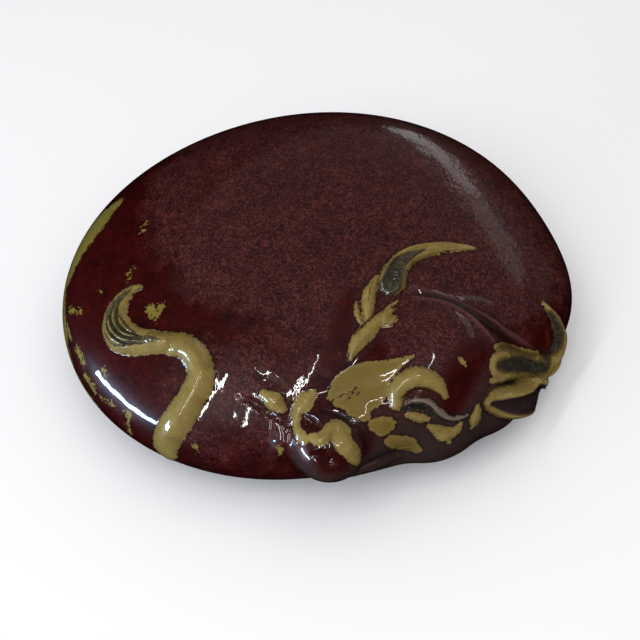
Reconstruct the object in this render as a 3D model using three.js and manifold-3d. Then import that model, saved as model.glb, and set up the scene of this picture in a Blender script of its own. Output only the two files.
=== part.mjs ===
// Curled-up sleeping water buffalo, a hollow slip-joined stoneware figurine.
// Millimetres, +Z up, origin at the centre of the foot. The buffalo lies curled into one
// rounded pebble: the tail is at the -X side, the head rests along the front (-Y) right (+X) side.
import * as THREE from 'three';
import { mergeVertices } from 'three/addons/utils/BufferGeometryUtils.js';
import Module from 'manifold-3d';

const wasm = await Module();
wasm.setup();

// ---------------------------------------------------------------- driving dimensions
const body_length = 230; // tail side to shoulder side of the plain oval
const body_depth = 205.4; // spine to belly side
const body_height = 72;
const girth_height = 30.2; // height of the widest line
const egg = 0.056; // the oval is fuller towards the spine
const skew = 0.054; // and leans towards the shoulder
const shoulder_swell = 0.09; // local swelling of the flank under the near horn
const shoulder_angle = -8; // degrees
const shoulder_spread = 20; // degrees
const side_power = 2.4; // superellipse powers of the pebble's section
const crown_power = 2.2;
const underside_drop = 1.2; // how far the lower half reaches, as a multiple of the girth height

const wall = 6; // thickness of the hollow body's clay
const slab_thickness = 6;
const foot_rim = 8; // width of the body's foot around the base slab
const vent_diameter = 12; // firing vent in the base slab
const vent_offset = 36; // towards the spine from the middle of the foot
const seam = 0.3; // gap between two joined pieces of clay

const head_width = 58; // across the brows
const forehead_thickness = 22;
const muzzle_diameter = 31;
const cheek_diameter = 35;
const jaw_thickness = 17;
const horn_width = 15;
const horn_thickness = 9;
const ear_width = 13;
const ear_thickness = 6;
const brow_width = 9;
const eyelid_width = 5.5;
const tail_width = 13.5;
const tail_thickness = 9;
const tuft_width = 17;
const tuft_thickness = 9;
const hoof_width = 11;

const body_around = 88; // facets around the body
const body_rows = 22; // facet rows from the crown to the foot

// ---------------------------------------------------------------- body surface
const crown = body_height - girth_height;
const underside = underside_drop * girth_height;
const radians = THREE.MathUtils.degToRad;

// Radius of the girth line at an angle about +Z.
function outline(angle) {
  const half_x = body_length / 2;
  const half_y = body_depth / 2;
  const oval = 1 / Math.hypot(Math.cos(angle) / half_x, Math.sin(angle) / half_y);
  const turn = Math.atan2(Math.sin(angle), Math.cos(angle));
  const from_shoulder = (turn - radians(shoulder_angle)) / radians(shoulder_spread);
  const swell = shoulder_swell * Math.exp(-(from_shoulder ** 2));
  return oval * (1 + egg * Math.sin(angle) + skew * Math.sin(2 * angle) + swell);
}

// Height of the upper surface at a reach of 0 (axis) to 1 (girth line).
function backHeight(reach) {
  const inside = Math.max(0, 1 - Math.min(1, reach) ** side_power);
  return girth_height + crown * inside ** (1 / crown_power);
}

// A point on the back: degrees about +Z, reach from the axis, lift above the surface.
function onBack(degrees, reach, lift = 0) {
  const angle = radians(degrees);
  const radius = reach * outline(angle);
  return new THREE.Vector3(
    radius * Math.cos(angle),
    radius * Math.sin(angle),
    backHeight(reach) + lift,
  );
}

// Outward direction of the body near a point.
function outward(point) {
  const angle = Math.atan2(point.y, point.x);
  const reach = Math.min(1, Math.hypot(point.x, point.y) / outline(angle));
  const step = 0.02;
  const low = Math.max(0, reach - step);
  const run = (reach - low) * outline(angle);
  const fall = backHeight(low) - backHeight(reach);
  const slope = new THREE.Vector2(run, fall).normalize();
  const side = new THREE.Vector3(Math.cos(angle), Math.sin(angle), 0);
  return side.multiplyScalar(slope.y).setZ(slope.x).normalize();
}

// ---------------------------------------------------------------- closed shapes and cuts
// Only positions, with shared vertices joined.
function weld(geometry) {
  const bare = geometry.clone();
  for (const key of Object.keys(bare.attributes)) {
    if (key !== 'position') bare.deleteAttribute(key);
  }
  return mergeVertices(bare, 1e-4);
}

function solid(geometry) {
  const closed = weld(geometry);
  return new wasm.Manifold(
    new wasm.Mesh({
      numProp: 3,
      vertProperties: new Float32Array(closed.attributes.position.array),
      triVerts: new Uint32Array(closed.index.array),
    }),
  );
}

// The largest body of a solid, so that a cut leaves no loose sliver.
function largest(shape) {
  return shape.decompose().sort((a, b) => b.volume() - a.volume())[0];
}

function cut(shape, ...tools) {
  return largest(tools.reduce((left, tool) => left.subtract(tool), shape));
}

function join(...shapes) {
  return shapes.reduce((left, right) => left.add(right));
}

function geometryOf(shape) {
  const made = shape.getMesh();
  const indexed = new THREE.BufferGeometry();
  indexed.setAttribute('position', new THREE.BufferAttribute(made.vertProperties, made.numProp));
  indexed.setIndex(new THREE.BufferAttribute(made.triVerts, 1));
  const flat = indexed.toNonIndexed();
  flat.computeVertexNormals();
  return flat;
}

// A superellipse profile turned about +Z, then pushed out to the body's outline.
// `bottom` is the height of its flat underside, `inset` how far it lies inside the surface.
function pebble({ inset = 0, bottom = 0, around = body_around, rows = body_rows }) {
  const upper = crown - inset;
  const lower = underside - inset;
  const profile = [];
  const floor_share = Math.min(1, (girth_height - bottom) / lower);
  const floor_turn = Math.asin(floor_share ** (crown_power / 2));
  for (let i = 0; i <= rows; i += 1) {
    const turn = -floor_turn + ((Math.PI / 2 + floor_turn) * i) / rows;
    const reach = Math.max(0, Math.cos(turn)) ** (2 / side_power);
    const rise = Math.abs(Math.sin(turn)) ** (2 / crown_power);
    const z = girth_height + (turn > 0 ? upper * rise : -lower * rise);
    profile.push(new THREE.Vector2(i === rows ? 0 : reach, i === 0 ? bottom : z));
  }
  profile.unshift(new THREE.Vector2(0, bottom));
  const turned = new THREE.LatheGeometry(profile, around).rotateX(Math.PI / 2);
  const places = turned.attributes.position;
  for (let i = 0; i < places.count; i += 1) {
    const angle = Math.atan2(places.getY(i), places.getX(i));
    const scale = outline(angle) - inset;
    places.setXY(i, places.getX(i) * scale, places.getY(i) * scale);
  }
  return solid(turned);
}

// A flat plate whose outline is the foot's, moved in by `inset`.
function footPlate(inset, low, high) {
  const foot_reach = (1 - (girth_height / underside) ** crown_power) ** (1 / side_power);
  const plate = new THREE.CylinderGeometry(1, 1, high - low, body_around).rotateX(Math.PI / 2);
  plate.translate(0, 0, (low + high) / 2);
  const places = plate.attributes.position;
  for (let i = 0; i < places.count; i += 1) {
    const angle = Math.atan2(places.getY(i), places.getX(i));
    const scale = foot_reach * outline(angle) - inset;
    places.setXY(i, places.getX(i) * scale, places.getY(i) * scale);
  }
  return solid(plate);
}

function ventPlug(low, high) {
  const radius = vent_diameter / 2;
  const drum = new THREE.CylinderGeometry(radius, radius, high - low, 24);
  return solid(drum.rotateX(Math.PI / 2).translate(0, vent_offset, (low + high) / 2));
}

// A rod of oval section through its stations, lying flat against the body.
// Each station is [point, width, thickness]; `grow` makes the clearance copy of the same rod.
function rod(stations, { grow = 0, sides = 12, steps = 18 } = {}) {
  const path = new THREE.CatmullRomCurve3(stations.map((station) => station[0]));
  const sizes = new THREE.CatmullRomCurve3(
    stations.map((station, i) => new THREE.Vector3(station[1], station[2], i)),
  );
  const drum = new THREE.CylinderGeometry(1, 1, 1, sides, steps);
  const places = drum.attributes.position;
  for (let i = 0; i < places.count; i += 1) {
    const t = THREE.MathUtils.clamp(places.getY(i) + 0.5, 0, 1);
    const tangent = path.getTangent(t);
    const centre = path.getPoint(t);
    const size = sizes.getPoint(t);
    const side = new THREE.Vector3().crossVectors(tangent, outward(centre)).normalize();
    const rise = new THREE.Vector3().crossVectors(side, tangent).normalize();
    const at_end = t < 0.001 ? -grow : t > 0.999 ? grow : 0;
    centre.addScaledVector(tangent, at_end);
    centre.addScaledVector(side, places.getX(i) * (size.x / 2 + grow));
    centre.addScaledVector(rise, places.getZ(i) * (size.y / 2 + grow));
    places.setXYZ(i, centre.x, centre.y, centre.z);
  }
  return solid(drum);
}

// A ball stretched along `axis`: length, width and height over all.
function ball(centre, axis, [length, width, height], grow = 0) {
  const along = axis.clone().normalize();
  const side = new THREE.Vector3().crossVectors(along, outward(centre)).normalize();
  const rise = new THREE.Vector3().crossVectors(side, along);
  const turn = new THREE.Matrix4().makeBasis(along, rise, side);
  const round = new THREE.SphereGeometry(0.5, 24, 14);
  round.scale(length + 2 * grow, height + 2 * grow, width + 2 * grow);
  return solid(round.applyMatrix4(turn).translate(centre.x, centre.y, centre.z));
}

// ---------------------------------------------------------------- clay pieces
const outer = pebble({});
const outer_clear = pebble({ inset: -seam, bottom: -seam });
const cavity = pebble({
  inset: wall,
  bottom: slab_thickness,
  around: body_around / 2,
  rows: 14,
});
const slab = footPlate(foot_rim, 0, slab_thickness);
const slab_recess = footPlate(foot_rim - seam, -1, slab_thickness + seam);
const base_slab = slab.subtract(ventPlug(-1, slab_thickness + 1));
const body_shell = cut(outer, cavity, slab_recess);

// Head: a low forehead, skull, snout, muzzle, cheek and jaw corner along the pebble's front.
const skull_at = onBack(-45, 0.77, -14);
const muzzle_at = onBack(-85, 0.96, -1);
const cheek_at = onBack(-49.5, 0.95, -15);
const jaw_corner_at = onBack(-37, 0.965, -15);
const head_axis = muzzle_at.clone().sub(skull_at);

// The forehead's middle line, from the poll to the snout: degrees, reach, share of head width.
const forehead_line = [
  [-38, 0.63, 0.7],
  [-50, 0.7, 0.9],
  [-64, 0.76, 0.75],
  [-78, 0.85, 0.5],
];
const forehead_sink = 7.5; // how far the middle of the forehead lies under the back

// A point on the back beside the forehead's far edge, `inward` of it.
function besideForehead(degrees, inward, lift = 0) {
  const next = forehead_line.findIndex((station) => station[0] <= degrees);
  const [from, to] = [forehead_line[Math.max(0, next - 1)], forehead_line[Math.max(1, next)]];
  const t = (degrees - from[0]) / (to[0] - from[0]);
  const middle = THREE.MathUtils.lerp(from[1], to[1], t);
  const half_width = (THREE.MathUtils.lerp(from[2], to[2], t) * head_width) / 2;
  const reach = middle - (half_width - inward) / outline(radians(degrees));
  return onBack(degrees, reach, lift);
}

function headShape(grow) {
  const skull_size = [head_width * 1.1, head_width, head_width * 0.95];
  const muzzle_size = [muzzle_diameter, muzzle_diameter, muzzle_diameter];
  const cheek_size = [cheek_diameter * 1.4, cheek_diameter, cheek_diameter];
  const corner_size = [cheek_diameter, cheek_diameter * 0.95, cheek_diameter * 0.95];
  const snout = rod(
    [
      [skull_at, head_width * 0.85, head_width * 0.72],
      [skull_at.clone().lerp(muzzle_at, 0.5), head_width * 0.66, head_width * 0.6],
      [muzzle_at, muzzle_diameter * 0.92, muzzle_diameter * 0.9],
    ],
    { grow, sides: 20, steps: 8 },
  );
  const forehead = rod(
    forehead_line.map(([degrees, reach, share]) => [
      onBack(degrees, reach, -forehead_sink),
      head_width * share,
      forehead_thickness,
    ]),
    { grow, sides: 20, steps: 8 },
  );
  return join(
    forehead,
    ball(skull_at, head_axis, skull_size, grow),
    ball(muzzle_at, head_axis, muzzle_size, grow),
    ball(cheek_at, head_axis, cheek_size, grow),
    ball(jaw_corner_at, head_axis, corner_size, grow),
    snout,
  );
}
const head_clear = headShape(seam);
const head_whole = headShape(0);
const head = cut(head_whole, outer_clear);

// A point on the head: share of the way from skull to muzzle, degrees about that line
// (0 is up, 90 is the near side), lift above the surface.
const head_line = head_axis.clone().normalize();
const head_near = new THREE.Vector3(0, 0, 1).cross(head_line).normalize();
const head_rise = new THREE.Vector3().crossVectors(head_line, head_near);
const head_skin = new THREE.Mesh(geometryOf(head_whole));
function onHead(share, degrees, lift = 0) {
  const middle = skull_at.clone().lerp(muzzle_at, share);
  const away = head_rise.clone().multiplyScalar(Math.cos(radians(degrees)));
  away.addScaledVector(head_near, Math.sin(radians(degrees)));
  const far_out = middle.clone().addScaledVector(away, body_length);
  const probe = new THREE.Raycaster(far_out, away.clone().negate());
  const skin_point = probe.intersectObject(head_skin)[0].point;
  return skin_point.addScaledVector(away, lift);
}

function applied(stations, options, ...neighbours) {
  return {
    shape: cut(rod(stations, options), ...neighbours),
    clear: rod(stations, { ...options, grow: seam }),
  };
}

const lower_jaw = applied(
  [
    [onBack(-80, 0.955, -18), jaw_thickness * 0.8, jaw_thickness * 0.8],
    [onBack(-68, 0.93, -27), jaw_thickness * 0.95, jaw_thickness * 0.95],
    [onBack(-58.5, 0.955, -23), jaw_thickness * 1.05, jaw_thickness * 1.05],
    [onBack(-50.5, 0.975, -20), jaw_thickness * 1.1, jaw_thickness * 1.1],
    [onBack(-44, 0.97, -19), jaw_thickness * 0.8, jaw_thickness * 0.8],
  ],
  { sides: 14, steps: 10 },
  outer_clear,
  head_clear,
);

const near_horn = applied(
  [
    [onHead(-0.28, 66, -1), horn_width, horn_thickness],
    [onBack(-27.5, 1.0, 7), horn_width * 1.05, horn_thickness * 1.2],
    [onBack(-21, 1.0, 9), horn_width * 0.95, horn_thickness * 1.2],
    [onBack(-16, 0.99, 7), horn_width * 0.75, horn_thickness],
    [onBack(-13, 0.97, 5), horn_width * 0.5, horn_thickness * 0.8],
    [onBack(-11.3, 0.955, 3), horn_width * 0.2, horn_thickness * 0.4],
  ],
  { steps: 16 },
  outer_clear,
  head_clear,
);

const far_horn_root = onBack(-34.5, 0.44, 0);
const far_horn = applied(
  [
    [far_horn_root, horn_width, horn_thickness],
    [onBack(-23, 0.407, 0.5), horn_width * 0.9, horn_thickness],
    [onBack(-14.5, 0.409, 1), horn_width * 0.7, horn_thickness],
    [onBack(-5.4, 0.47, 1), horn_width * 0.5, horn_thickness * 0.8],
    [onBack(-1.8, 0.555, 0.5), horn_width * 0.35, horn_thickness * 0.6],
    [onBack(-1.8, 0.624, 0), horn_width * 0.15, horn_thickness * 0.4],
  ],
  { steps: 18 },
  outer_clear,
  head_clear,
);

const near_ear = applied(
  [
    [onHead(-0.17, 97, -1), ear_width * 0.6, ear_thickness],
    [onBack(-36, 1.06, 3), ear_width * 1.1, ear_thickness * 1.2],
    [onBack(-31, 1.07, 2), ear_width * 1.1, ear_thickness * 1.2],
    [onBack(-26, 1.07, 3), ear_width * 0.8, ear_thickness],
    [onBack(-22, 1.055, 5), ear_width * 0.25, ear_thickness * 0.5],
  ],
  { steps: 14 },
  outer_clear,
  head_clear,
  near_horn.clear,
);

const far_ear = applied(
  [
    [far_horn_root, ear_width * 0.25, ear_thickness * 0.5],
    [besideForehead(-42, -4, 0.5), ear_width * 0.45, ear_thickness * 0.8],
    [besideForehead(-50, -1, 0.5), ear_width * 0.6, ear_thickness],
    [besideForehead(-56, 1, 0.5), ear_width * 0.6, ear_thickness],
    [besideForehead(-60.5, 3), ear_width * 0.25, ear_thickness * 0.5],
  ],
  { steps: 12 },
  outer_clear,
  head_clear,
  far_horn.clear,
);

const near_brow = applied(
  [
    [onHead(0.48, 32), brow_width * 0.7, brow_width * 0.6],
    [onHead(0.4, 26), brow_width, brow_width * 0.8],
    [onHead(0.31, 31), brow_width, brow_width * 0.8],
    [onHead(0.24, 43), brow_width, brow_width * 0.8],
    [onHead(0.21, 54), brow_width * 0.6, brow_width * 0.6],
  ],
  { steps: 12 },
  outer_clear,
  head_clear,
);

const near_eyelid = applied(
  [
    [onHead(0.43, 44), eyelid_width * 0.6, eyelid_width * 0.6],
    [onHead(0.35, 53), eyelid_width, eyelid_width * 0.8],
    [onHead(0.28, 64), eyelid_width, eyelid_width * 0.8],
    [onHead(0.2, 74), eyelid_width * 0.6, eyelid_width * 0.6],
  ],
  { steps: 8 },
  outer_clear,
  head_clear,
  near_brow.clear,
);

const far_brow = applied(
  [
    [besideForehead(-72, 3), brow_width * 0.4, brow_width * 0.4],
    [besideForehead(-67.5, 1, 0.5), brow_width, brow_width * 0.7],
    [besideForehead(-60, 4, 0.5), brow_width, brow_width * 0.7],
    [besideForehead(-52, 8, 0.5), brow_width * 0.8, brow_width * 0.6],
    [besideForehead(-44, 9), brow_width * 0.4, brow_width * 0.4],
  ],
  { steps: 12 },
  outer_clear,
  head_clear,
  far_ear.clear,
);

const tail_end = onBack(-139, 0.715, 1);
const tail_cord = applied(
  [
    [onBack(-124.5, 1.0, -14), tail_width * 0.6, tail_thickness * 0.6],
    [onBack(-125, 1.0, 0), tail_width, tail_thickness],
    [onBack(-124.5, 0.975, 1), tail_width, tail_thickness],
    [onBack(-123, 0.89, 1), tail_width, tail_thickness],
    [onBack(-123, 0.77, 1), tail_width * 0.95, tail_thickness],
    [onBack(-129, 0.7, 1), tail_width * 0.85, tail_thickness],
    [tail_end, tail_width * 0.75, tail_thickness],
  ],
  { steps: 30 },
  outer_clear,
);

const tail_tuft = applied(
  [
    [tail_end, tuft_width * 0.6, tuft_thickness],
    [onBack(-145.5, 0.777, 1), tuft_width, tuft_thickness],
    [onBack(-150.5, 0.825, 1), tuft_width, tuft_thickness],
    [onBack(-155, 0.815, 1), tuft_width * 0.85, tuft_thickness * 0.9],
    [onBack(-158.5, 0.76, 1), tuft_width * 0.6, tuft_thickness * 0.8],
    [onBack(-162.5, 0.672, 0), tuft_width * 0.1, tuft_thickness * 0.3],
  ],
  { steps: 20 },
  outer_clear,
  tail_cord.clear,
);

const hind_hoof = applied(
  [
    [onBack(-105, 0.775, -1), hoof_width * 0.5, hoof_width * 0.4],
    [onBack(-101.5, 0.79, 0), hoof_width * 0.9, hoof_width * 0.7],
    [onBack(-98, 0.815, 0), hoof_width, hoof_width * 0.7],
    [onBack(-94.5, 0.85, 0), hoof_width * 0.7, hoof_width * 0.5],
  ],
  { steps: 10 },
  outer_clear,
  head_clear,
);

// ---------------------------------------------------------------- glazes and the assembly
const oxblood = { color: 0x5a1a1c, roughness: 0.12, metalness: 0 };
const ochre = { color: 0x8f7d45, roughness: 0.14, metalness: 0 };
const bare_clay = { color: 0xa08a72, roughness: 0.85, metalness: 0 };

const buffalo = new THREE.Group();
function place(name, shape, glaze) {
  const piece = new THREE.Mesh(geometryOf(shape), new THREE.MeshStandardMaterial(glaze));
  piece.name = name;
  buffalo.add(piece);
}

place('body_shell', body_shell, oxblood);
place('base_slab', base_slab, bare_clay);
place('head', head, oxblood);
place('lower_jaw', lower_jaw.shape, oxblood);
place('near_horn', near_horn.shape, ochre);
place('far_horn', far_horn.shape, ochre);
place('near_ear', near_ear.shape, ochre);
place('far_ear', far_ear.shape, ochre);
place('near_brow', near_brow.shape, ochre);
place('far_brow', far_brow.shape, ochre);
place('near_eyelid', near_eyelid.shape, oxblood);
place('tail_cord', tail_cord.shape, ochre);
place('tail_tuft', tail_tuft.shape, ochre);
place('hind_hoof', hind_hoof.shape, ochre);

export default buffalo;
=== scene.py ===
import math

import bpy
import numpy as np
from mathutils import Matrix, Vector


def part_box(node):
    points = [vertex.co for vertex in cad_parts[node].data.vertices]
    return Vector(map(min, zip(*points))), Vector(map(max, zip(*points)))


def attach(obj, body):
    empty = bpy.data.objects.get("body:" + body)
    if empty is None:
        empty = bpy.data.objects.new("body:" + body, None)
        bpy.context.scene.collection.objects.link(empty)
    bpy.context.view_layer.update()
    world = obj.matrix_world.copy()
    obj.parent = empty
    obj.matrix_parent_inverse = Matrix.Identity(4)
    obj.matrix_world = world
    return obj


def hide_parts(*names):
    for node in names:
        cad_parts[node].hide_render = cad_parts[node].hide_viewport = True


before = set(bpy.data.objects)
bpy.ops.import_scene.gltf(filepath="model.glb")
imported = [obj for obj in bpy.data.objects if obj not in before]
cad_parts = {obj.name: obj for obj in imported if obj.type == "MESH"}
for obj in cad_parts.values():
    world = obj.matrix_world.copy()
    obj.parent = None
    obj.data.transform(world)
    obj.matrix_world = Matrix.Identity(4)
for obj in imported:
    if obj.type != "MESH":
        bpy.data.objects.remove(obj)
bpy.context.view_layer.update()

# ------------------------------------------------------------------ sizes
# All modelling is in millimetres in the part's own frame; MM turns it into metres.
LENGTH, DEPTH, HEIGHT, GIRTH = 230.0, 205.4, 72.0, 30.2
EGG, SKEW = 0.056, 0.054
SWELL, SWELL_AT, SWELL_SPREAD = 0.09, math.radians(-8), math.radians(20)
SIDE_POWER, CROWN_POWER, UNDERSIDE_DROP = 2.4, 2.2, 1.2
CROWN = HEIGHT - GIRTH
UNDERSIDE = UNDERSIDE_DROP * GIRTH
FOOT_REACH = (1 - (GIRTH / UNDERSIDE) ** CROWN_POWER) ** (1 / SIDE_POWER)
SLAB_INSET = 7.7  # foot rim left round the base slab's recess
SLAB_DEPTH = 6.3
NET_PITCH = 1.2  # spacing of the clay surface's mesh
SEAT = 2.5  # how deep a luted member is let into the clay below it
SEAT_GAP = 0.4
body_low, body_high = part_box("body_shell")
MM = (body_high.z - body_low.z) / HEIGHT


# ------------------------------------------------------------------ the plain forms
def outline(angle):
    """Radius of the body's widest line at an angle about +Z."""
    oval = 1 / np.hypot(np.cos(angle) / (LENGTH / 2), np.sin(angle) / (DEPTH / 2))
    turn = np.arctan2(np.sin(angle), np.cos(angle))
    swell = SWELL * np.exp(-(((turn - SWELL_AT) / SWELL_SPREAD) ** 2))
    return oval * (1 + EGG * np.sin(angle) + SKEW * np.sin(2 * angle) + swell)


def pebble(p):
    """Distance to the plain curled body, good near its surface."""
    angle = np.arctan2(p[:, 1], p[:, 0])
    radius = np.hypot(p[:, 0], p[:, 1])
    edge = outline(angle)
    slant = (outline(angle + 0.01) - outline(angle - 0.01)) / 0.02 / edge
    height = np.where(p[:, 2] > GIRTH, CROWN, UNDERSIDE)
    reach = radius / edge
    rise = np.abs(p[:, 2] - GIRTH) / height
    level = reach**SIDE_POWER + rise**CROWN_POWER - 1
    out = SIDE_POWER * reach ** (SIDE_POWER - 1) / edge
    lift = CROWN_POWER * rise ** (CROWN_POWER - 1) / height
    steep = np.sqrt(out**2 * (1 + slant**2) + lift**2)
    return level / np.maximum(steep, 0.012)


def on_back(degrees, reach, lift=0.0):
    """A point on the body: degrees about +Z, reach from the axis, lift above the surface."""
    angle = math.radians(degrees)
    radius = reach * outline(angle)
    inside = max(0.0, 1 - min(1.0, reach) ** SIDE_POWER)
    z = GIRTH + CROWN * inside ** (1 / CROWN_POWER) + lift
    return np.array([radius * math.cos(angle), radius * math.sin(angle), z])


def smooth_min(a, b, k):
    h = np.maximum(k - np.abs(a - b), 0) / k
    return np.minimum(a, b) - h * h * k / 4


def smooth_max(a, b, k):
    return -smooth_min(-a, -b, k)


# The head's own axes: along the snout, towards the near side, and up out of the brow.
SKULL = on_back(-45, 0.77, -14)
MUZZLE = on_back(-85, 0.96, -1)
HEAD_LENGTH = float(np.linalg.norm(MUZZLE - SKULL))
ALONG = (MUZZLE - SKULL) / HEAD_LENGTH
NEAR = np.cross([0.0, 0.0, 1.0], ALONG)
NEAR /= np.linalg.norm(NEAR)
HEAD_AXES = np.stack([ALONG, NEAR, np.cross(ALONG, NEAR)])


def to_head(p):
    return (p - SKULL) @ HEAD_AXES.T


def on_head(along, near, rise):
    return SKULL + np.array([along, near, rise]) @ HEAD_AXES


def ellipsoid(q, centre, radii):
    d = (q - np.array(centre)) / np.array(radii)
    r = np.linalg.norm(d, axis=1)
    g = np.linalg.norm(d / np.array(radii), axis=1)
    return r * (r - 1) / np.maximum(g, 1e-6)


def taper(q, start, end, r0, r1, flat=(1.0, 1.0)):
    """A tapered rod in the head's axes; `flat` scales it across and up."""
    s = np.array([1.0, flat[0], flat[1]])
    a, b, x = np.array(start) / s, np.array(end) / s, q / s
    ab = b - a
    t = np.clip((x - a) @ ab / (ab @ ab), 0, 1)
    return (np.linalg.norm(x - a - t[:, None] * ab, axis=1) - (r0 + (r1 - r0) * t)) * min(flat)


def head_form(p):
    """The head's soft masses: skull, snout, muzzle, cheek, jaw corner and jaw."""
    q = to_head(p)
    v = smooth_min(
        ellipsoid(q, (-2, 0, -1), (34, 29, 27)),
        taper(q, (8, 1, -2), (HEAD_LENGTH - 4, 0, 0.6), 24, 15, flat=(1.0, 0.85)),
        10,
    )
    v = smooth_min(v, ellipsoid(q, (HEAD_LENGTH + 1, 1, 1.8), (14, 15, 13.2)), 6)
    v = smooth_min(v, ellipsoid(q, (6, 17, -14), (26, 16.5, 16.5)), 8)
    v = smooth_min(v, ellipsoid(q, (-15, 20, -16.5), (17, 16, 16)), 8)
    return smooth_min(v, taper(q, (8, 18, -22), (56, 4, -12), 9.5, 7.5), 5)


def ground(p):
    """The body with its head, before any applied member or tool mark."""
    return smooth_min(pebble(p), head_form(p), 7)


def slope(field, p, step=0.25):
    """Gradient of a field by central differences."""
    g = np.empty_like(p)
    for axis in range(3):
        d = np.zeros(3)
        d[axis] = step
        g[:, axis] = (field(p + d) - field(p - d)) / (2 * step)
    return g


def settle(p, field, level=0.0, rounds=3, limit=1.5):
    """Moves points onto field == level."""
    p = p.copy()
    for _ in range(rounds):
        g = slope(field, p)
        move = (field(p) - level)[:, None] * g / np.maximum((g * g).sum(1), 0.05)[:, None]
        size = np.linalg.norm(move, axis=1)[:, None]
        p -= move * np.minimum(1, limit / np.maximum(size, 1e-9))
    return p


# ------------------------------------------------------------------ strokes of clay and glaze
def spread(values, shares):
    """Values given at even steps along a stroke, read at shares 0 to 1."""
    return np.interp(shares, np.linspace(0, 1, len(values)), values)


def curve_through(points, spacing=1.2):
    """A Catmull-Rom curve through the points."""
    p = np.vstack([2 * points[0] - points[1], points, 2 * points[-1] - points[-2]])
    runs = []
    for i in range(1, len(p) - 2):
        a, b, c, d = p[i - 1 : i + 3]
        steps = max(2, int(np.linalg.norm(c - b) / spacing))
        t = (np.arange(steps) / steps)[:, None]
        bend = (2 * a - 5 * b + 4 * c - d) * t**2 + (3 * b - a - 3 * c + d) * t**3
        runs.append((2 * b + (c - a) * t + bend) / 2)
    return np.vstack(runs + [p[-2:-1]])


# Sections of a stroke: `u` runs from 0 on its line to 1 at its edge, ends included, and
# `v` does the same across it only, so that a trough stays open at its ends.
def round_profile(u, _):
    return np.clip(1 - u * u, 0, 1)


def soft_profile(u, _):
    return np.clip(1 - u * u, 0, 1) ** 2


def leaf_profile(u, _):
    """A member with raised rims and a hollow between them."""
    return np.clip(1 - u**4, 0, 1) * (0.35 + 0.65 * np.clip(u / 0.7, 0, 1) ** 2)


def trough_profile(u, v):
    """A member with raised sides, hollow between them and open at its ends."""
    return np.clip(1 - u**4, 0, 1) * (0.4 + 0.6 * np.clip(v / 0.7, 0, 1) ** 2)


BACK, HEAD = on_back, on_head
STROKES = []
MASK_FADE = 4.0  # how far outside a painted area its mask is still measured
REACH = 11.0  # how far above or below the plain forms a stroke can act
CHUNK = 20000  # points measured at a time, to hold memory down


class Stroke:
    """A rib, groove or dab that follows a curve on the clay.

    `width` is the half width and `height` the relief, both in mm at even steps along it.
    `paint` maps a glaze mask to (kind, size): "fill" covers the stroke grown by size, and
    "rim" is a band of half width `size` just inside its edge.
    """

    def __init__(self, place, points, width, height=(0,), profile=soft_profile, paint=None, piece=""):
        seats = settle(np.array([place(*point) for point in points]), ground, rounds=10)
        line = settle(curve_through(seats), ground, rounds=4)
        self.line = line
        steps = np.linalg.norm(np.diff(line, axis=0), axis=1)
        self.share = np.concatenate([[0], np.cumsum(steps)]) / steps.sum()
        self.length = float(steps.sum())
        normal = slope(ground, line)
        self.normal = normal / np.linalg.norm(normal, axis=1)[:, None]
        tangent = np.gradient(line, axis=0)
        tangent -= self.normal * (tangent * self.normal).sum(1)[:, None]
        self.tangent = tangent / np.linalg.norm(tangent, axis=1)[:, None]
        self.side = np.cross(self.normal, self.tangent)
        self.width, self.height = width, height
        self.profile, self.paint, self.piece = profile, paint or {}, piece
        STROKES.append(self)

    def measure(self, p, extra=0.0):
        """Which points are near, and their share along, distance across and half width."""
        span = max(self.width) + extra + 1
        low, high = self.line.min(0) - span, self.line.max(0) + span
        index = np.nonzero(((p > low) & (p < high)).all(1))[0]
        if not len(index):
            return index, index, index, index, index
        q = p[index]
        nearest = np.empty(len(q), int)
        for start in range(0, len(q), CHUNK):
            part = q[start : start + CHUNK]
            gap = (part**2).sum(1)[:, None] - 2 * part @ self.line.T + (self.line**2).sum(1)
            nearest[start : start + CHUNK] = gap.argmin(1)
        d = q - self.line[nearest]
        ahead = (d * self.tangent[nearest]).sum(1)
        across = (d * self.side[nearest]).sum(1)
        above = (d * self.normal[nearest]).sum(1)
        last = len(self.line) - 1
        beyond = np.where(nearest == 0, np.minimum(ahead, 0), 0)
        beyond = np.where(nearest == last, np.maximum(ahead, 0), beyond)
        share = np.clip(self.share[nearest] + ahead / self.length, 0, 1)
        off = np.hypot(across, beyond)
        keep = (np.abs(above) < REACH) & (off < span)
        share, off, across, index = share[keep], off[keep], across[keep], index[keep]
        return index, share, off, across, spread(self.width, share)

    def relief(self, p, out):
        if not any(self.height):
            return
        index, share, off, across, width = self.measure(p)
        if len(index):
            out[index] += spread(self.height, share) * self.profile(off / width, np.abs(across) / width)

    def mask(self, p, kind, size):
        """Distance inside the painted area in mm; negative outside."""
        index, _, off, _, width = self.measure(p, extra=MASK_FADE + max(size, 0))
        if not len(index):
            return index, index
        if kind == "rim":
            return index, size - np.abs(off - (width - size))
        return index, width + size - off


OCHRE = {"ochre": ("fill", 0.0)}
AMBER = {"ochre": ("fill", 0.0), "amber": ("fill", -0.4)}
SLATE = {"slate": ("fill", 0.05)}
RED = {"red": ("fill", 0.0)}
OLIVE = {"olive": ("fill", 0.0)}
RUST = {"rust": ("fill", 0.0)}
FOLD = {"fold": ("fill", -1.2)}

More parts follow.
